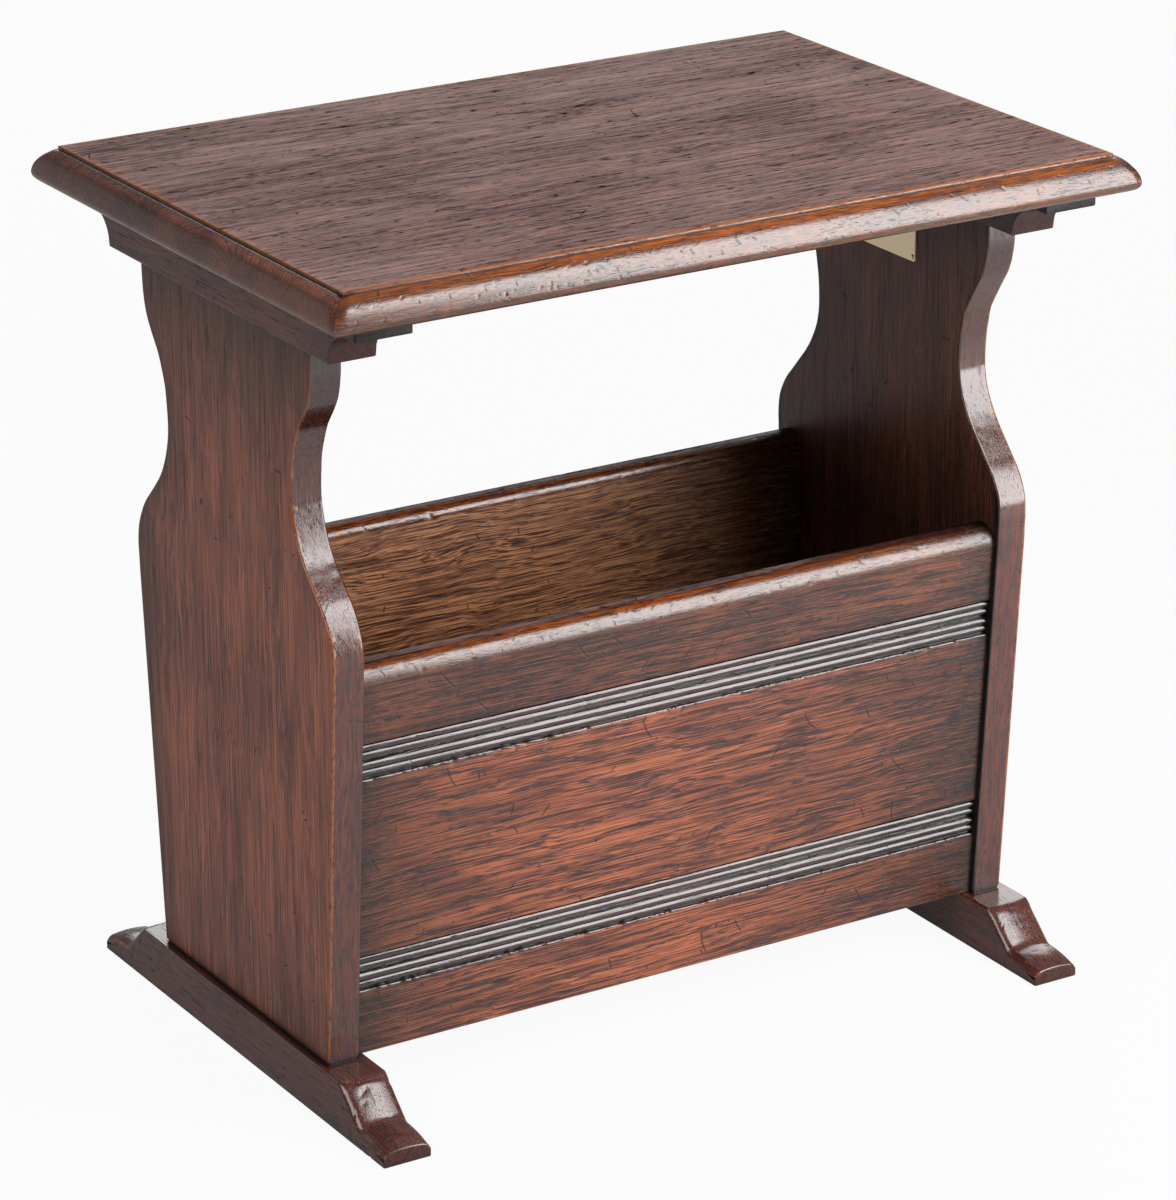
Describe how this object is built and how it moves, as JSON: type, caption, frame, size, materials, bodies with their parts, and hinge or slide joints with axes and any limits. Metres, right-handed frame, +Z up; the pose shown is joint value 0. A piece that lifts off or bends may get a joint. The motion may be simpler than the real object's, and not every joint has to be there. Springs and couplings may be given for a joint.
{
  "type": "magazine table",
  "caption": "Low oak occasional table: moulded top on shaped end panels with sledge feet, and a leaning trough between the ends that holds magazines.",
  "frame": {"origin": "on the floor, under the middle of the table", "axes": "+X along the table's length to its right end, +Y to its back, +Z up"},
  "size_m": [0.497, 0.344, 0.483],
  "materials": {
    "oak": "dark stained oak, distressed and wax polished, worn lighter along the edges",
    "steel": "dull steel",
    "brass": "satin brass, bare"
  },
  "bodies": {
    "root": {"top_front_board": "oak", "top_rear_board": "oak", "left_cleat": "oak", "right_cleat": "oak", "left_bearer": "oak", "right_bearer": "oak", "left_end_panel": "oak", "right_end_panel": "oak", "left_foot": "oak", "right_foot": "oak", "rack_front_panel": "oak", "rack_back_panel": "oak", "rack_bottom": "oak", "left_top_screws": "steel", "right_top_screws": "steel", "brass_plate": "brass", "plate_pins": "brass"}
  },
  "joints": []
}
